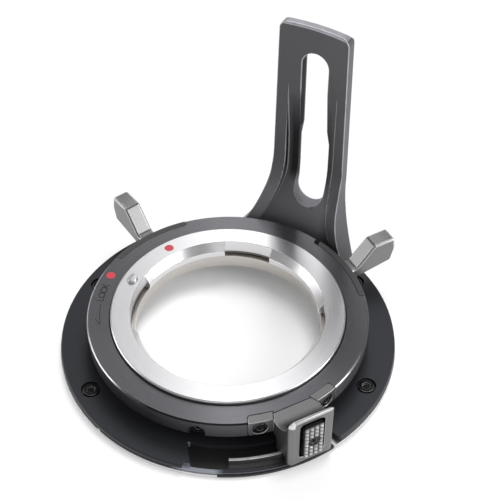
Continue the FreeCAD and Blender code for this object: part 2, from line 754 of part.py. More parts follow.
def make_support_arm():
    far = arm_out_r + past
    near = arm_foot_in_r * math.cos(math.radians(arm_foot_spread)) - past
    shell = revolved([
        (arm_in_r + arm_bevel, arm_top), (arm_in_r, arm_top - arm_bevel), (arm_in_r, rib_top_z)]
        + sweep_in((arm_in_r, rib_top_z), (arm_foot_in_r, rib_foot_z)) + [
        (arm_foot_in_r, disc_z), (flange_r, disc_z), (flange_r, arm_back_foot_z),
        (fall((arm_out_r, arm_back_z), (flange_r, arm_back_foot_z))[0], (arm_out_r, arm_back_z)),
        (arm_out_r, arm_top - arm_back_bevel), (arm_out_r - arm_back_bevel, arm_top)], -45, 90)
    k = arm_corner * (1 - math.sqrt(0.5))
    top = arm_half_top
    edge_down = arm_half_outline(0, disc_z)
    outline = along(
        [(arm_corner - top, arm_top), (top - arm_corner, arm_top),
         ((top - k, arm_top - k), (top, arm_top - arm_corner))] + edge_down + mirrored(edge_down) + [
         (-top, arm_top - arm_corner), ((k - top, arm_top - k), (arm_corner - top, arm_top))], near, far)
    body = shell.common(outline)
    bay_down = arm_half_outline(rib_w, disc_z - past)
    bay_half = arm_half_low - rib_w
    bay = along([(-bay_half, web_fade_z), (bay_half, web_fade_z)] + bay_down + mirrored(bay_down), near, far)
    web = revolved([(near, web_fade_z), (arm_in_r, web_fade_z), (web_in_r, web_full_z),
                    (web_in_r, web_top_z)]
                   + sweep_in((web_in_r, web_top_z), (web_foot_r, web_foot_z))
                   + [(web_foot_r, disc_z - past), (near, disc_z - past)], -45, 90)
    s, w = slot_half, slot_wide_half
    slot = along([
        (-s, slot_top_z - s), ((0, slot_top_z), (s, slot_top_z - s)), (s, slot_step[0]), (w, slot_step[1]),
        (w, slot_low_z + w), ((0, slot_low_z), (-w, slot_low_z + w)), (-w, slot_step[1]),
        (-s, slot_step[0])], near, far)
    slot.translate(Vec(0, -slot_shift, 0))
    body = body.cut(bay.common(web)).cut(slot)
    holes = [post(arm_screw[2], arm_screw_r, a - arm_angle, disc_z - 1, disc_z + arm_screw_bite)
             for a in arm_screw_angles]
    return turned(cut_all(body, holes), arm_angle)


def screw_group(size, length, spots, sink=0.0):
    shape = screw(size, length, sink)
    return Part.makeCompound([placed(shape, at, direction) for at, direction in spots])


def make_screws():
    down = Vec(0, 0, -1)
    ear_seat = ring_r - ear_screw[1] - 0.1
    ear_length = ear_seat - ring_in_r - 0.4
    wing_seat = ring_in_r + wing_screw[1] + bolt_gap
    z_ear = ring_top - ear_screw_drop
    z_wing = ring_top - wing_screw_drop
    seat = disc_z - flange_bore_h
    head = plate_t + bayonet_screw[1] + bolt_gap
    clamp_wall = clamp_out_r - clamp_rim_t
    knob_seat = pad_back + 0.2
    return {
        "flange_screws": screw_group(flange_screw, seat, [
            (polar(flange_screw_r, a, seat), up) for a in flange_screw_angles]),
        "bayonet_screws": screw_group(bayonet_screw, upstand_z - head + bayonet_screw_bite, [
            (polar(bayonet_screw_r, a, head), down) for a in bayonet_screw_angles]),
        "drive_screws": screw_group(drive_screw, drive_seat_r - clamp_wall, [
            (polar(drive_seat_r, a, drive_z), polar(1, a)) for a in drive_angles]),
        "wing_lever_screws": screw_group(wing_screw, ring_r - 0.4 - wing_seat, [
            (polar(wing_seat, a, z_wing), polar(-1, a)) for a in wing_screw_angles]),
        "release_housing_screws": screw_group(ear_screw, ear_length, [
            (polar(ear_seat, a, z_ear), polar(1, a)) for a in ear_screw_angles]),
        "button_screw": screw_group(knob_screw, knob_seat - plunger_in, [
            (polar(knob_seat, latch_angle, stem_z), polar(1, latch_angle))]),
        "arm_screws": screw_group(arm_screw, disc_z + arm_screw_bite, [
            (polar(arm_screw_r, a), down) for a in arm_screw_angles], 1.0),
        "strike_screws": screw_group(strike_screw, plate_t + strike_screw_bite, [
            (polar(strike_screw_r, a), down) for a in strike_screw_angles], 1.0)}


nodes = {
    "rear_mount_plate": make_rear_plate(),
    "base_flange": make_base_flange(),
    "latch_strike": make_latch_strike(),
    "front_bayonet": make_front_bayonet(),
    "bayonet_springs": make_leaf_springs(),
    "bayonet_index_dot": post(seat_dot_r, seat_dot_at, seat_dot_angle, seat_z - dot_t, seat_z),
    "lens_lock_pin": make_lens_lock_pin(),
    "lock_pin_spring": make_lock_pin_spring(),
    "clamp_ring": make_clamp_ring(),
    "lock_ring": make_lock_ring(),
    "ring_index_dot": post(ring_dot_r, ring_dot_at, ring_dot_angle, ring_top - dot_t, ring_top),
    "left_wing_lever": make_wing_lever(wing_angles["left"]),
    "right_wing_lever": make_wing_lever(wing_angles["right"]),
    "release_housing": make_release_housing(),
    "release_button": make_release_button(),
    "release_plunger": make_plunger(),
    "plunger_spring": make_plunger_spring(),
    "support_arm": make_support_arm(),
}
nodes.update(make_screws())

os.makedirs("parts", exist_ok=True)
for name, shape in nodes.items():
    shape.exportStep("parts/" + name + ".step")
    box = shape.BoundBox
    print(name, len(shape.Solids), shape.isValid(), round(shape.Volume, 2),
          round(box.XMin, 2), round(box.XMax, 2), round(box.YMin, 2), round(box.YMax, 2),
          round(box.ZMin, 2), round(box.ZMax, 2))
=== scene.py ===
import math

import bmesh
import bpy
from mathutils import Matrix, Vector


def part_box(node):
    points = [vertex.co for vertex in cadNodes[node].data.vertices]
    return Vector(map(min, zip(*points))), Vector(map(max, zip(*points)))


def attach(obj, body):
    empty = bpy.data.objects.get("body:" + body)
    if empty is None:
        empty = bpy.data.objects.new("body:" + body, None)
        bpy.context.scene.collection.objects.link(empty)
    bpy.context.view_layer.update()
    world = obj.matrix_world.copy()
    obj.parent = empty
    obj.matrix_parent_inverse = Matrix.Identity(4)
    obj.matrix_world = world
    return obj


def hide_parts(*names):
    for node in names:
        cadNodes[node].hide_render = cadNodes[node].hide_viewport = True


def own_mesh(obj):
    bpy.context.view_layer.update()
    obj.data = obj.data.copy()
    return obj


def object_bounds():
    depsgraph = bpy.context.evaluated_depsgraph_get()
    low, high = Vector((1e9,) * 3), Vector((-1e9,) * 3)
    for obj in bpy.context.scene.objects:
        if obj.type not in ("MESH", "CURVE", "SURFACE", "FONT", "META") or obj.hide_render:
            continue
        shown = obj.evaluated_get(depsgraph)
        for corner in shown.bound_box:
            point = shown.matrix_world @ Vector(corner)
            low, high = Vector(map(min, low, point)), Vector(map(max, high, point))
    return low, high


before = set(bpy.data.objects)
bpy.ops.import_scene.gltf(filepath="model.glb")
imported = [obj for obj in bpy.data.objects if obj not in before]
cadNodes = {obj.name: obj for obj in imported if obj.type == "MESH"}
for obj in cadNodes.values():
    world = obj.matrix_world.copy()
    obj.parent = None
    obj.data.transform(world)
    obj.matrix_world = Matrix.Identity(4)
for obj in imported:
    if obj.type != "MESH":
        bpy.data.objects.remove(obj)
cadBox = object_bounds()
mm = 0.001
print("frame loaded:", len(cadNodes), "nodes")


class Val:  # a socket that takes part in sums
    def __init__(self, finish, socket):
        self.finish = finish
        self.socket = socket

    def math(self, operation, *values):
        return self.finish.add("ShaderNodeMath", {"operation": operation}, dict(enumerate(values)))

    def __add__(self, other):
        return self.math("ADD", self, other)

    def __radd__(self, other):
        return self.math("ADD", other, self)

    def __sub__(self, other):
        return self.math("SUBTRACT", self, other)

    def __rsub__(self, other):
        return self.math("SUBTRACT", other, self)

    def __mul__(self, other):
        return self.math("MULTIPLY", self, other)

    def __rmul__(self, other):
        return self.math("MULTIPLY", other, self)

    def __truediv__(self, other):
        return self.math("DIVIDE", self, other)

    def __rtruediv__(self, other):
        return self.math("DIVIDE", other, self)

    def root(self):
        return self.math("SQRT", self)

    def clip(self):
        settings = {"operation": "ADD", "use_clamp": True}
        return self.finish.add("ShaderNodeMath", settings, {0: self, 1: 0.0})

    def above(self, limit, blur):  # 0 up to the limit, 1 from a blur's width past it
        return ((self - limit) / blur).clip()

    def below(self, limit, blur):
        return ((limit - self) / blur).clip()

    def within(self, low, high, blur):
        return self.above(low, blur) * self.below(high, blur)


class Finish:  # a material and the nodes added to it
    def __init__(self, name):
        self.material = bpy.data.materials.new(name)
        self.material.use_nodes = True
        self.tree = self.material.node_tree
        self.shader = self.tree.nodes["Principled BSDF"]

    def add(self, kind, settings=None, sockets=None, out=0):
        node = self.tree.nodes.new(kind)
        for key, value in (settings or {}).items():
            setattr(node, key, value)
        for key, value in (sockets or {}).items():
            self.feed(node.inputs[key], value)
        return Val(self, node.outputs[out])

    def feed(self, target, value):
        if isinstance(value, Val):
            self.tree.links.new(value.socket, target)
        else:
            target.default_value = value

    def wear(self, **sockets):  # shader sockets by name, with _ for a space
        for key, value in sockets.items():
            self.feed(self.shader.inputs[key.replace("_", " ")], value)
        return self.material

    def place(self):
        return self.add("ShaderNodeTexCoord", out="Object")

    def blend(self, amount, first, second):  # 6, 7 and 2 are the Mix node's colour sockets
        sockets = {0: amount, 6: first, 7: second}
        return self.add("ShaderNodeMix", {"data_type": "RGBA"}, sockets, out=2)

    def noise(self, vector, scale, detail, rough=0.5):
        sockets = {"Vector": vector, "Scale": scale, "Detail": detail, "Roughness": rough}
        return self.add("ShaderNodeTexNoise", {}, sockets)

    def axes(self, vector):
        split = self.add("ShaderNodeSeparateXYZ", {}, {0: vector}).socket.node
        return [Val(self, output) for output in split.outputs]

    def radius(self, vector):  # distance from the lens axis
        x, y, _ = self.axes(vector)
        return (x * x + y * y).root()

    def bearing(self, vector):  # angle round the lens axis, in degrees
        x, y, _ = self.axes(vector)
        return x.math("ARCTAN2", y, x) * (180 / math.pi)

    def turning(self, vector):  # radius and height, so that marks run round the lens axis
        sockets = {0: self.radius(vector), 1: self.axes(vector)[2], 2: 0.0}
        return self.add("ShaderNodeCombineXYZ", {}, sockets)

    def relief(self, height, strength, distance):
        sockets = {"Height": height, "Strength": strength, "Distance": distance}
        return self.add("ShaderNodeBump", {}, sockets)

    def edges(self):  # the wear and painted light that each face carries: 1 for rubbed edges and painted highlights, -1 for painted shade
        return self.add("ShaderNodeAttribute", {"attribute_name": "faceWearAndPaintedLight"}, out=2)


def rgb(value, tint=(1.0, 1.0, 1.0)):
    return (value * tint[0], value * tint[1], value * tint[2], 1.0)


steelTint = (0.99, 0.98, 1.0)
coolTint = (0.93, 0.97, 1.12)
plumTint = (0.99, 0.97, 1.05)
warmTint = (1.05, 1.0, 0.95)
greyTint = (1.0, 1.0, 1.015)
redTint = (1.0, 0.0962, 0.1346)
noiseMean = 0.5
shadeShare = 0.15  # painted shade's share of the tone round it


# painted shade where a face's mark is below 0
def paintedShade(f, edge, shade, tone, tint):
    return f.blend((edge * -1).clip(), shade, rgb(tone * shadeShare, tint))


# lathe-turned metal: fine rings round the axis, blotches of roughness, rubbed edges, painted highlights
# and painted shade; noises are scale and detail, and spread draws the shine out across the rings
turned = {"rings": (9000.0, 2.0), "coarse": (2600.0, 2.0), "cloud": (55.0, 4.0), "coarseShare": 0.6,
          "dark": 0.93, "light": 1.06, "brightest": 0.95, "spreadTurn": 0.25, "cloudDull": 0.1,
          "ringDull": 0.12, "edgePolish": 0.06, "ringRelief": 0.85, "reliefDepth": 0.00004}


def turnedMetal(name, tone, tint, rough, groove, metal=1.0, lift=0.25, wearAndPaintedLight=0.5, spread=0.6):
    f = Finish(name)
    place = f.place()
    rings = f.noise(f.turning(place), *turned["rings"])
    coarse = f.noise(f.turning(place), *turned["coarse"])
    cloud = f.noise(place, *turned["cloud"])
    edge = f.edges()
    patches = coarse * turned["coarseShare"] + cloud * (1 - turned["coarseShare"])
    shade = f.blend(patches.clip(), rgb(tone * turned["dark"], tint), rgb(tone * turned["light"], tint))
    shade = paintedShade(f, edge, shade, tone, tint)
    colour = f.blend((edge * wearAndPaintedLight).clip(), shade, rgb(min(tone + lift, turned["brightest"]), tint))
    dull = (rough + (cloud - noiseMean) * turned["cloudDull"] + (rings - noiseMean) * turned["ringDull"]
            - edge.clip() * turned["edgePolish"])
    height = rings * turned["ringRelief"] + coarse * (1 - turned["ringRelief"])
    return f.wear(Base_Color=colour, Metallic=metal, Anisotropic=spread,
                  Anisotropic_Rotation=turned["spreadTurn"], Roughness=dull.clip(),
                  Normal=f.relief(height, groove, turned["reliefDepth"]))


# bead-blasted and dyed aluminium: fine even grain, faint blotches, edges rubbed lighter, painted
# highlights and painted shade
blasted = {"fine": (7000.0, 3.0, 0.6), "cloud": (42.0, 5.0), "scuff": (420.0, 4.0), "cloudShare": 0.7,
           "dark": 0.88, "light": 1.12, "leastWear": 0.6, "scuffWear": 0.8, "specular": 0.35,
           "fineDull": 0.14, "cloudDull": 0.1, "edgePolish": 0.08, "paintedDull": 0.3, "grain": 0.12,
           "grainDepth": 0.00003}


def anodised(name, tone, tint, rough, metal, lift, wearAndPaintedLight, paintedLight=()):
    # each entry paints light or shade: a function that says where, and the tone painted there
    f = Finish(name)
    place = f.place()
    fine, cloud, scuff = (f.noise(place, *blasted[key]) for key in ("fine", "cloud", "scuff"))
    edge = f.edges()
    patches = cloud * blasted["cloudShare"] + scuff * (1 - blasted["cloudShare"])
    shade = f.blend(patches.clip(), rgb(tone * blasted["dark"], tint), rgb(tone * blasted["light"], tint))
    shade = paintedShade(f, edge, shade, tone, tint)
    rubAndPaintedLight = edge * wearAndPaintedLight * (blasted["leastWear"] + scuff * blasted["scuffWear"])
    colour = f.blend(rubAndPaintedLight.clip(), shade, rgb(tone + lift, tint))
    dull = (rough + (fine - noiseMean) * blasted["fineDull"] + (cloud - noiseMean) * blasted["cloudDull"]
            - edge.clip() * blasted["edgePolish"])
    for where, paintedTone in paintedLight:
        amount = where(f, place)
        colour = f.blend(amount, colour, rgb(paintedTone, tint))
        dull = dull + amount * blasted["paintedDull"]
    return f.wear(Base_Color=colour, Metallic=metal, Specular_IOR_Level=blasted["specular"],
                  Roughness=dull.clip(), Normal=f.relief(fine, blasted["grain"], blasted["grainDepth"]))


# where painted light, painted shade and wear lie, in mm in the part's own frame and degrees round the lens
# axis; a blur is the width over which a painted mark fades, and a lean is one component of a face's normal
fade = 0.3
hairline = 0.05
margin = 0.1
steep = 0.3  # a wall's normal rises less than this
latch = {"turn": -33.5, "face": 47.12, "rimBlur": 0.2, "rubbedFrom": 38.0,
         "recessFloor": 46.07, "recessHalf": 3.65, "recessLow": 3.4, "recessTop": 16.7, "loopGap": 0.2,
         "sweepLow": 10.9, "sweepIn": 40.6, "sweepOut": 46.3, "sweepLeft": -5.9, "sweepRight": 6.4,
         "sweepBlur": 2.0, "sideBlur": 1.0,
         "cornerIn": 43.5, "cornerHalf": 4.9, "cornerLow": 16.4, "glintLow": 16.3, "glintBlur": 0.5,
         "browLow": 17.5, "browOut": 46.2, "browLean": 0.2, "padValley": 47.92, "knobTip": 48.57}
arm = {"front": 48.2, "hollowFrom": 0.15, "hollowTo": 2.8,
       "bayLeft": -7.4, "bayRight": 6.6, "leftBlur": 1.5, "rightBlur": 1.6, "leftShade": 0.9,
       "rightShade": 0.7, "bayLow": 20.0, "bayTop": 56.0, "lowBlur": 4.0, "topBlur": 18.0,
       "slotLeft": -3.6, "slotRight": 4.4, "slotStep": 41.0, "slotTop": 68.3, "stepBlur": 1.0,
       "wallHalf": 0.2, "wallBlur": 0.1, "wallShade": 0.9,
       "footHigh": 27.0, "footFade": 14.0, "footRight": 10.0, "footBlur": 4.0,
       "stepTop": 33.0, "stepRight": -4.4, "stepLean": 0.4, "topLow": 75.0, "topLean": 0.8, "topHighlight": 0.5}
# where the notch's painted highlights lie: its rounded left side, its left end wall and the lip in front
notch = {"left": -80.0, "wallEnd": -72.0, "right": -25.0, "inner": 40.0, "outer": 46.2,
         "side": ((9.4, -37.6), (12.6, -41.9)), "sideBand": (-0.45, 0.35), "sideBlur": 0.2,
         "startBlur": 0.6, "endBlur": 2.0, "lipSpan": (-79.0, -62.0), "lipBlur": 3.0,
         "lipRadius": 45.2, "lipRise": 0.2, "lipTop": 1.75, "lipTopBlur": 0.1}
# painted highlight and painted shade on the lock ring: bright and dark spans of its outer edge, and its
# shaded left wall
ringEdge = {"radius": 38.2, "bright": ((-180.0, -103.0), (-22.0, 8.0)), "dark": (-102.0, -24.0),
            "fade": 10.0, "chamfer": (0.6, 0.8), "shadedWall": (-190.0, -62.0), "shadeFade": 30.0,
            "deepestShade": 0.75}
# inside the foot radius the wing lever takes painted shade
wing = {"shadedFootRadius": 38.95, "rubbedFrom": 39.2}
strike = {"crestLow": 2.35, "crestOut": 43.7}


def insideRadius(limit):
    return lambda f, place: (f.radius(place) / mm).below(limit, fade)


def latchTurn(x, y, z):  # outwards from the lens axis, across the latch's face, up
    turn = math.radians(latch["turn"])
    return x * math.cos(turn) + y * math.sin(turn), y * math.cos(turn) - x * math.sin(turn), z


def latchAxes(f, place):
    return latchTurn(*(v / mm for v in f.axes(place)))


# painted shade in the pad's recess
def recessShade(f, place):
    out, across, up = latchAxes(f, place)
    half = latch["recessHalf"] + hairline
    sunk = (out.below(latch["face"] - margin, latch["rimBlur"])
            * out.above(latch["recessFloor"] - margin, hairline))
    return (across.within(-half, half, hairline) * sunk
            * up.within(latch["recessLow"], latch["recessTop"], hairline))


def sweepShade(f, place):  # painted shade in the hollow top of the latch housing, darkest below the brow
    out, across, up = latchAxes(f, place)
    beside = (across.above(latch["sweepLeft"], latch["sideBlur"])
              * across.below(latch["sweepRight"], fade))
    return (out.above(latch["sweepIn"], latch["sweepBlur"]) * out.below(latch["sweepOut"], fade)
            * beside * up.above(latch["sweepLow"], latch["rimBlur"]))


def cornerHighlight(f, place):  # painted highlight at the left end of the brow
    out, across, up = latchAxes(f, place)
    return (across.below(-latch["cornerHalf"], fade) * out.above(latch["cornerIn"], fade)
            * up.above(latch["glintLow"], latch["glintBlur"]))


def valleyShade(f, place):  # painted shade between the pad's pyramids
    out, _, _ = latchAxes(f, place)
    tip = latch["knobTip"] - margin
    return out.below(tip, tip - latch["padValley"])


def armHollowShade(f, place):  # painted shade on the sides of the arm's hollow web and the slot's left wall
    x, _, z = (v / mm for v in f.axes(place))
    depth = f.radius(place) / mm - arm["front"]
    sunk = depth.within(arm["hollowFrom"], arm["hollowTo"], fade)
    tall = z.above(arm["bayLow"], arm["lowBlur"]) * z.below(arm["bayTop"], arm["topBlur"])
    left = x.above(arm["bayLeft"], arm["leftBlur"]) * x.below(arm["slotLeft"] + margin, fade)
    right = x.above(arm["slotRight"], fade) * x.below(arm["bayRight"], arm["rightBlur"])
    wall = (x.within(arm["slotLeft"] - arm["wallHalf"], arm["slotLeft"] + arm["wallHalf"], arm["wallBlur"])
            * z.above(arm["slotStep"], arm["stepBlur"]) * z.below(arm["slotTop"], fade))
    shaded = (left * arm["leftShade"] + right * arm["rightShade"]) * tall + wall * arm["wallShade"]
    return (shaded * sunk).clip()


# painted light: the arm grows lighter towards its foot
def armFootLight(f, place):
    x, _, z = (v / mm for v in f.axes(place))
    return z.below(arm["footHigh"], arm["footFade"]) * x.below(arm["footRight"], arm["footBlur"])


def notchSideHighlight(f, place):  # painted highlight on the rounded left side of the notch and the lip in front of it
    x, y, z = (v / mm for v in f.axes(place))
    (inX, inY), (outX, outY) = notch["side"]
    run = math.hypot(outX - inX, outY - inY)
    runX, runY = (outX - inX) / run, (outY - inY) / run
    along = (x - inX) * runX + (y - inY) * runY
    off = (x - inX) * runY - (y - inY) * runX
    side = (off.within(*notch["sideBand"], notch["sideBlur"]) * along.above(0.0, notch["startBlur"])
            * along.below(run, notch["endBlur"]))
    lip = (f.bearing(place).within(*notch["lipSpan"], notch["lipBlur"])
           * (f.radius(place) / mm).above(notch["lipRadius"], notch["lipRise"])
           * z.below(notch["lipTop"], notch["lipTopBlur"]))
    return (side + lip).clip()


# steel screws: dull, with bright spots where the key has rubbed
keyed = {"fine": (5200.0, 3.0), "blot": (900.0, 3.0), "dark": 0.7, "light": 1.4, "leastWear": 0.3,
         "blotWear": 0.6, "lift": 0.35, "metal": 0.85, "fineDull": 0.2, "grain": 0.1,
         "grainDepth": 0.00003}


def screwFinish(name, tone, rough):
    f = Finish(name)
    place = f.place()
    fine, blot = (f.noise(place, *keyed[key]) for key in ("fine", "blot"))
    shade = f.blend(blot, rgb(tone * keyed["dark"]), rgb(tone * keyed["light"]))
    rubAndPaintedLight = f.edges() * (keyed["leastWear"] + blot * keyed["blotWear"])
    colour = f.blend(rubAndPaintedLight.clip(), shade, rgb(tone + keyed["lift"]))
    dull = rough + (fine - noiseMean) * keyed["fineDull"]
    return f.wear(Base_Color=colour, Metallic=keyed["metal"], Roughness=dull.clip(),
                  Normal=f.relief(fine, keyed["grain"], keyed["grainDepth"]))


# enamel fill in a drilled dot, slightly uneven
enamel = {"pool": (900.0, 2.0), "dark": 0.82, "rough": 0.34, "poolDull": 0.1, "coat": 0.3,
          "relief": 0.15, "reliefDepth": 0.00005}


def indexPaint(name, tone, tint):
    f = Finish(name)
    pool = f.noise(f.place(), *enamel["pool"])
    shade = f.blend(pool, rgb(tone * enamel["dark"], tint), rgb(tone, tint))
    return f.wear(Base_Color=shade, Metallic=0.0, Coat_Weight=enamel["coat"],
                  Roughness=(enamel["rough"] + pool * enamel["poolDull"]).clip(),
                  Normal=f.relief(pool, enamel["relief"], enamel["reliefDepth"]))


looks = {
    "brightSteel": (turnedMetal, dict(tone=0.80, tint=steelTint, rough=0.30, groove=0.12, spread=0.5)),
    "warmSteel": (turnedMetal, dict(tone=0.62, tint=warmTint, rough=0.32, groove=0.14, spread=0.4)),
    "silverPlate": (turnedMetal, dict(tone=0.74, tint=steelTint, rough=0.32, groove=0.14, spread=0.4)),
    "gunmetal": (turnedMetal, dict(tone=0.145, tint=plumTint, rough=0.29, groove=0.12, metal=0.9,
                                   lift=0.5, wearAndPaintedLight=0.8, spread=0.94)),
    "blackFlange": (anodised, dict(tone=0.031, tint=coolTint, rough=0.42, metal=0.25, lift=0.25,
                                   wearAndPaintedLight=0.55, paintedLight=((notchSideHighlight, 0.32),))),
    "armGrey": (anodised, dict(tone=0.105, tint=plumTint, rough=0.42, metal=0.4, lift=0.45, wearAndPaintedLight=0.85,
                               paintedLight=((armFootLight, 0.25), (armHollowShade, 0.012)))),
    "wingGrey": (anodised, dict(tone=0.225, tint=greyTint, rough=0.34, metal=0.9, lift=0.45, wearAndPaintedLight=0.8,
                                paintedLight=((insideRadius(wing["shadedFootRadius"]), 0.15),))),
    "latchGrey": (anodised, dict(tone=0.21, tint=greyTint, rough=0.36, metal=0.9, lift=0.45, wearAndPaintedLight=0.8,
                                 paintedLight=((sweepShade, 0.045), (cornerHighlight, 0.85), (recessShade, 0.012)))),
    "strikeGrey": (anodised, dict(tone=0.04, tint=greyTint, rough=0.36, metal=0.6, lift=0.7, wearAndPaintedLight=0.95)),
    "padGrey": (anodised, dict(tone=0.66, tint=greyTint, rough=0.28, metal=0.9, lift=0.1, wearAndPaintedLight=0.6,
                               paintedLight=((valleyShade, 0.05),))),
    "screwBlack": (screwFinish, dict(tone=0.016, rough=0.28)),
    "screwSteel": (screwFinish, dict(tone=0.42, rough=0.32)),
    "springSteel": (turnedMetal, dict(tone=0.55, tint=warmTint, rough=0.32, groove=0.1)),
    "indexRed": (indexPaint, dict(tone=0.52, tint=redTint)),
    "engraved": (anodised, dict(tone=0.012, tint=coolTint, rough=0.6, metal=0.0, lift=0.05, wearAndPaintedLight=0.2)),
}
finishes = {name: make(name, **look) for name, (make, look) in looks.items()}
print("finishes made:", len(finishes))


# rules for wear, painted highlights and painted shade, from a face's centre and normal
def reach(point):  # mm from the lens axis
    return math.hypot(point.x, point.y) / mm


def bearing(point):  # degrees round the lens axis
    return math.degrees(math.atan2(point.y, point.x))


def inside(angle, span):  # degrees from the nearer end of a span, below 0 outside it
    low, high = span
    return min(angle - low, high - angle)


def limited(value):
    return min(max(value, -1.0), 1.0)


def beyond(radius):
    return lambda centre, normal: reach(centre) > radius


def anywhere(centre, normal):
    return True


def nowhere(centre, normal):
    return False


def ringEdgeHighlight(centre, normal):  # painted highlight on the ring's outer edge at the sides, painted shade in front
    if reach(centre) < ringEdge["radius"]:
        return 0.0
    angle = bearing(centre)
    lit = max(inside(angle, span) for span in ringEdge["bright"])
    shaded = inside(angle, ringEdge["dark"])
    return limited((max(lit, 0) - max(shaded, 0)) / ringEdge["fade"])


def ringFaceLightAndShade(centre, normal):  # the chamfer takes the edge's painted highlight and shade; painted shade darkens the wall on the left
    low, high = ringEdge["chamfer"]
    if low < normal.z < high:
        return ringEdgeHighlight(centre, normal)
    if abs(normal.z) > steep or reach(centre) < ringEdge["radius"]:
        return 0.0
    depth = inside(bearing(centre), ringEdge["shadedWall"]) / ringEdge["shadeFade"]
    return -ringEdge["deepestShade"] * limited(max(depth, 0.0))


# painted highlight on the lip's edge in front of the notch
def notchLipHighlight(centre, normal):
    return (notch["left"] < bearing(centre) < notch["right"] and reach(centre) > notch["lipRadius"]
            and centre.z < notch["lipTop"] * mm)


# painted highlight on the notch's left end wall
def notchEndHighlight(centre, normal):
    return (notch["left"] < bearing(centre) < notch["wallEnd"]
            and notch["inner"] < reach(centre) < notch["outer"] and abs(normal.z) < steep)


def armTopHighlightStepShade(centre, normal):  # painted highlight on the top; painted shade on the side of the web's hollow at the foot
    if normal.z > arm["topLean"] and centre.z > arm["topLow"] * mm:
        return arm["topHighlight"]
    low = centre.x < arm["stepRight"] * mm and centre.z < arm["stepTop"] * mm
    return -float(low and normal.x > arm["stepLean"])


# painted highlight on the strike block's crest
def strikeCrestHighlight(centre, normal):
    return centre.z > strike["crestLow"] * mm and reach(centre) < strike["crestOut"]


def browHighlight(centre, normal):  # painted highlight on the rounded top of the latch's face and its left corner
    _, across, up = latchTurn(*(centre / mm))
    rounded = (up > latch["browLow"] and normal.z > latch["browLean"]
               and reach(centre) > latch["browOut"])
    return rounded or (across < -latch["cornerHalf"] and up > latch["cornerLow"])


# each solid's finish, body and edge radius in mm; its broken edges are rubbed anywhere and its faces carry
# no wear, unless a rule says otherwise; several rules paint highlights and shade there instead of wear
dress = {
    "rear_mount_plate": dict(finish="silverPlate", body="mount_base", edge=0.05),
    "base_flange": dict(finish="blackFlange", body="mount_base", edge=0.10, rubAndPaintedLight=notchLipHighlight,
                        wearAndPaintedLight=notchEndHighlight),
    "flange_screws": dict(finish="screwBlack", body="mount_base", edge=0.12),
    "latch_strike": dict(finish="strikeGrey", body="mount_base", edge=0.10, rubAndPaintedLight=strikeCrestHighlight,
                         wearAndPaintedLight=strikeCrestHighlight),
    "strike_screws": dict(finish="screwSteel", body="mount_base", edge=0.05),
    "front_bayonet": dict(finish="brightSteel", body="mount_base", edge=0.12),
    "bayonet_screws": dict(finish="screwSteel", body="mount_base", edge=0.05),
    "bayonet_index_dot": dict(finish="indexRed", body="mount_base", edge=0.08),
    "bayonet_springs": dict(finish="springSteel", body="mount_base", edge=0.05),
    "lock_pin_spring": dict(finish="springSteel", body="mount_base", edge=0.0),
    "support_arm": dict(finish="armGrey", body="mount_base", edge=0.25, wearAndPaintedLight=armTopHighlightStepShade),
    "arm_screws": dict(finish="screwSteel", body="mount_base", edge=0.06),
    "clamp_ring": dict(finish="warmSteel", body="lock_ring_unit", edge=0.12),
    "lock_ring": dict(finish="gunmetal", body="lock_ring_unit", edge=0.09, rubAndPaintedLight=ringEdgeHighlight,
                      wearAndPaintedLight=ringFaceLightAndShade),
    "drive_screws": dict(finish="screwBlack", body="lock_ring_unit", edge=0.1),
    "ring_index_dot": dict(finish="indexRed", body="lock_ring_unit", edge=0.08),
    "left_wing_lever": dict(finish="wingGrey", body="lock_ring_unit", edge=0.14,
                            rubAndPaintedLight=beyond(wing["rubbedFrom"])),
    "right_wing_lever": dict(finish="wingGrey", body="lock_ring_unit", edge=0.14,
                             rubAndPaintedLight=beyond(wing["rubbedFrom"])),
    "wing_lever_screws": dict(finish="screwSteel", body="lock_ring_unit", edge=0.05),
    "release_housing": dict(finish="latchGrey", body="lock_ring_unit", edge=0.12,
                            rubAndPaintedLight=beyond(latch["rubbedFrom"]), wearAndPaintedLight=browHighlight),
    "release_housing_screws": dict(finish="screwBlack", body="lock_ring_unit", edge=0.1),
    "plunger_spring": dict(finish="springSteel", body="lock_ring_unit", edge=0.0),
    "release_button": dict(finish="padGrey", body="release_button_unit", edge=0.0),
    "button_screw": dict(finish="screwBlack", body="release_button_unit", edge=0.08),
    "release_plunger": dict(finish="springSteel", body="release_button_unit", edge=0.06),
    "lens_lock_pin": dict(finish="brightSteel", body="lens_pin", edge=0.10),
}
softening = {"weld": 0.000002, "flatAngle": 0.4, "breakAngle": 28.0, "planeGap": 0.00001,
             "segments": 2, "shadeAngle": 40.0, "faceWeight": 80}
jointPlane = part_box("base_flange")[1].z  # hidden face between upstand and bayonet
browFloor = latch["cornerLow"] * mm  # the latch housing's top is round already


def inRecessLoop(edge):  # rim and floor of the pad's recess, broken all round
    places = [latchTurn(*(v.co / mm)) for v in edge.verts]
    floor = latch["recessFloor"] - margin
    half, top = latch["recessHalf"] + latch["loopGap"], latch["recessTop"] + latch["loopGap"]
    return all(out > floor and abs(across) < half and up < top for out, across, up in places)


def breaks(edge, nodeName):
    if len(edge.link_faces) != 2 or edge.calc_face_angle() < math.radians(softening["breakAngle"]):
        return False
    if all(abs(v.co.z - jointPlane) < softening["planeGap"] for v in edge.verts):
        return False
    if nodeName != "release_housing" or inRecessLoop(edge):
        return True
    return min(v.co.z for v in edge.verts) < browFloor


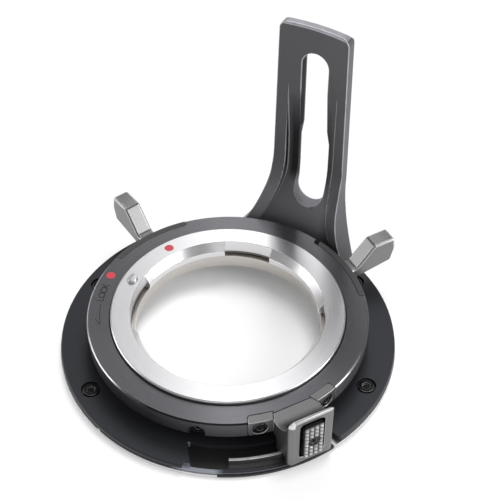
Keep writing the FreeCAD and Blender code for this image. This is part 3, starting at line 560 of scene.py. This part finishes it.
def softEdged(nodeName, radius, rubAndPaintedLight, wearAndPaintedLight):
    # copy of a solid with its machined edges broken; its faces carry the wear and the painted light
    bm = bmesh.new()
    bm.from_mesh(cadNodes[nodeName].data)
    bmesh.ops.remove_doubles(bm, verts=bm.verts, dist=softening["weld"])
    bmesh.ops.dissolve_limit(bm, angle_limit=math.radians(softening["flatAngle"]), verts=bm.verts,
                             edges=bm.edges, delimit={"NORMAL"})
    wear = bm.faces.layers.float.new("faceWearAndPaintedLight")
    for face in bm.faces:
        face[wear] = float(wearAndPaintedLight(face.calc_center_median(), face.normal))
    if radius:
        made = bmesh.ops.bevel(bm, geom=[e for e in bm.edges if breaks(e, nodeName)], offset=radius * mm,
                               offset_type="OFFSET", segments=softening["segments"], profile=0.5,
                               affect="EDGES", clamp_overlap=False, material=-1)
        for face in made["faces"]:
            face[wear] = float(rubAndPaintedLight(face.calc_center_median(), face.normal))
    mesh = bpy.data.meshes.new(nodeName + "Mesh")
    bm.to_mesh(mesh)
    bm.free()
    for polygon in mesh.polygons:
        polygon.use_smooth = True
    mesh.set_sharp_from_angle(angle=math.radians(softening["shadeAngle"]))
    return mesh


def addPiece(name, mesh, body, finish, *stands):
    piece = bpy.data.objects.new(name, mesh)
    bpy.context.scene.collection.objects.link(piece)
    mesh.materials.clear()
    mesh.materials.append(finishes[finish])
    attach(piece, body)
    if stands:
        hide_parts(*stands)
    return piece


for nodeName, look in dress.items():
    mesh = softEdged(nodeName, look["edge"], look.get("rubAndPaintedLight", anywhere), look.get("wearAndPaintedLight", nowhere))
    piece = addPiece(nodeName + "Dressed", mesh, look["body"], look["finish"], nodeName)
    flatten = piece.modifiers.new("evenFaces", "WEIGHTED_NORMAL")
    flatten.keep_sharp = True
    flatten.weight = softening["faceWeight"]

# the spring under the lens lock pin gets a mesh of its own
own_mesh(bpy.data.objects["lock_pin_springDressed"])
print("solids dressed:", len(dress))

# word and arrow in the lock ring's top; sizes in mm, places as angle in degrees and radius in mm
lockMark = {"word": "LOCK", "capHeight": 2.0, "fontRatio": 1.4, "radius": 36.0, "first": 201.5,
            "pitch": 2.8, "thick": 0.03, "line": 0.17, "shaft": ((204.0, 35.5), (216.8, 35.3)),
            "barb": (212.7, 36.6), "shaftSteps": 12, "weld": 0.0005}


def meshFromText(word, size, thickness):
    curve = bpy.data.curves.new("word", "FONT")
    curve.body = word
    curve.size = size
    curve.align_x = "CENTER"
    curve.extrude = thickness / 2
    holder = bpy.data.objects.new("word", curve)
    bpy.context.scene.collection.objects.link(holder)
    bpy.context.view_layer.update()
    solved = holder.evaluated_get(bpy.context.evaluated_depsgraph_get())
    mesh = bpy.data.meshes.new_from_object(solved)
    bpy.data.objects.remove(holder)
    bpy.data.curves.remove(curve)
    return mesh


def polar(degrees, radius, height):
    angle = math.radians(degrees)
    return Vector((math.cos(angle) * radius * mm, math.sin(angle) * radius * mm, height))


def addStroke(bm, points, width, thick):
    # closed bar of square section along a run of points
    corners = ((-1, -1), (1, -1), (1, 1), (-1, 1))
    rise = Vector((0, 0, thick / 2))
    rows = []
    for i, point in enumerate(points):
        ahead = points[min(i + 1, len(points) - 1)] - points[max(i - 1, 0)]
        side = Vector((-ahead.y, ahead.x, 0)).normalized() * width / 2
        rows.append([bm.verts.new(point + a * side + b * rise) for a, b in corners])
    for near, far in zip(rows, rows[1:]):
        for k in range(len(corners)):
            bm.faces.new((near[k], near[k - 1], far[k - 1], far[k]))
    bm.faces.new(rows[0])
    bm.faces.new(rows[-1][::-1])


def engraveLock():
    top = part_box("lock_ring")[1].z
    bm = bmesh.new()
    capHeight, thick, line, weld = (lockMark[key] * mm for key in ("capHeight", "thick", "line", "weld"))
    for i, letter in enumerate(lockMark["word"]):
        glyph = meshFromText(letter, capHeight * lockMark["fontRatio"], thick)
        angle = lockMark["first"] - i * lockMark["pitch"]
        glyph.transform(Matrix.Translation(polar(angle, lockMark["radius"], top))
                        @ Matrix.Rotation(math.radians(angle - 90), 4, "Z")
                        @ Matrix.Translation((0, -capHeight / 2, 0)))
        bm.from_mesh(glyph)
        bpy.data.meshes.remove(glyph)
    (angleA, radiusA), (angleB, radiusB) = lockMark["shaft"]
    shares = [k / lockMark["shaftSteps"] for k in range(lockMark["shaftSteps"] + 1)]
    shaft = [polar(angleA + (angleB - angleA) * s, radiusA + (radiusB - radiusA) * s, top) for s in shares]
    addStroke(bm, shaft, line, thick)
    addStroke(bm, [shaft[-1], polar(*lockMark["barb"], top)], line, thick)
    bmesh.ops.remove_doubles(bm, verts=bm.verts, dist=weld)
    bmesh.ops.recalc_face_normals(bm, faces=bm.faces)
    mesh = bpy.data.meshes.new("lockMarkMesh")
    bm.to_mesh(mesh)
    bm.free()
    piece = addPiece("lockMark", mesh, "lock_ring_unit", "engraved")


engraveLock()
print("lock mark engraved")

# floor, in metres; its white share grows past the part, painted light that washes out the part's shadow
# there; the part's reach is in mm
sheet = {"size": 8.0, "gap": 0.0003, "tone": 0.92, "paper": (60.0, 2.0), "paperDark": 0.99, "rough": 0.9,
         "white": 1.0, "nearShare": 0.12, "farShare": 0.8, "partReach": 45.0, "reachBlur": 6.0}


def makeFloor():
    bm = bmesh.new()
    bmesh.ops.create_grid(bm, x_segments=1, y_segments=1, size=sheet["size"] / 2)
    mesh = bpy.data.meshes.new("floorMesh")
    bm.to_mesh(mesh)
    bm.free()
    floor = bpy.data.objects.new("floor", mesh)
    floor.location.z = cadBox[0].z - sheet["gap"]
    bpy.context.scene.collection.objects.link(floor)
    f = Finish("paleFloor")
    place = f.place()
    paper = f.noise(place, *sheet["paper"])
    shade = f.blend(paper, rgb(sheet["tone"] * sheet["paperDark"]), rgb(sheet["tone"]))
    f.wear(Base_Color=shade, Roughness=sheet["rough"])
    rays = f.add("ShaderNodeLightPath").socket.node.outputs
    camera, glossy, passed = (Val(f, rays["Is " + kind + " Ray"])
                              for kind in ("Camera", "Glossy", "Transmission"))
    # painted light: past the part's reach the floor glows white over its shadow
    outside = (f.radius(place) / mm).above(sheet["partReach"], sheet["reachBlur"])
    share = (camera + glossy + passed).clip() * (sheet["nearShare"] + outside * sheet["farShare"])
    lit = Val(f, f.shader.outputs[0])
    glow = f.add("ShaderNodeEmission", {}, {"Color": rgb(sheet["white"])})
    surface = f.add("ShaderNodeMixShader", {}, {0: share, 1: lit, 2: glow})
    f.feed(f.tree.nodes["Material Output"].inputs["Surface"], surface)
    mesh.materials.append(f.material)


# camera, in metres and degrees
view = {"place": (0.1171, -0.2029, 0.2671), "tilt": 45.34, "heading": 28.53, "roll": 0.4,
        "lens": 90.14, "sensor": 36.0, "clip": 0.01}


def makeCamera():
    lens = bpy.data.cameras.new("photoView")
    lens.lens = view["lens"]
    lens.sensor_width = view["sensor"]
    lens.clip_start = view["clip"]
    camera = bpy.data.objects.new("photoView", lens)
    turn = (Matrix.Rotation(math.radians(view["heading"]), 4, "Z")
            @ Matrix.Rotation(math.radians(view["tilt"]), 4, "X")
            @ Matrix.Rotation(math.radians(view["roll"]), 4, "Z"))
    camera.matrix_world = Matrix.Translation(view["place"]) @ turn
    bpy.context.scene.collection.objects.link(camera)
    bpy.context.scene.camera = camera


# lamps; bearings are from the camera's side, 0 to the right and 90 behind the part
worldTone = 0.31
lamps = {
    "topStrip": dict(bearing=89.0, height=62.0, away=0.8, size=(0.14, 0.95), watts=0.86, mirrored=True),
    "rightBox": dict(bearing=-15.0, height=28.0, away=0.75, size=(0.45, 0.45), watts=3.1, mirrored=True),
    "leftBox": dict(bearing=170.0, height=19.0, away=0.8, size=(0.5, 0.35), watts=1.5, mirrored=True),
    "frontBox": dict(bearing=-90.0, height=25.0, away=0.9, size=(0.6, 0.3), watts=0.45, mirrored=True),
    "backKey": dict(bearing=75.0, height=60.0, away=0.9, size=(0.4, 0.4), watts=6.4, mirrored=False),
}


def makeLight():
    for name, lamp in lamps.items():
        light = bpy.data.lights.new(name, "AREA")
        light.shape = "RECTANGLE"
        light.size, light.size_y = lamp["size"]
        light.energy = lamp["watts"]
        turn = math.radians(lamp["bearing"] + view["heading"])
        height = math.radians(lamp["height"])
        level = math.cos(height)
        place = lamp["away"] * Vector((math.cos(turn) * level, math.sin(turn) * level, math.sin(height)))
        holder = bpy.data.objects.new(name, light)
        holder.location = place
        holder.visible_glossy = lamp["mirrored"]
        holder.rotation_euler = (-place).to_track_quat("-Z", "Y").to_euler()
        bpy.context.scene.collection.objects.link(holder)
    world = bpy.data.worlds.new("studioWorld")
    bpy.context.scene.world = world
    world.use_nodes = True
    world.node_tree.nodes["Background"].inputs["Color"].default_value = rgb(worldTone)


makeFloor()
makeLight()
makeCamera()
bpy.context.scene.view_settings.view_transform = "Standard"
print("studio ready")
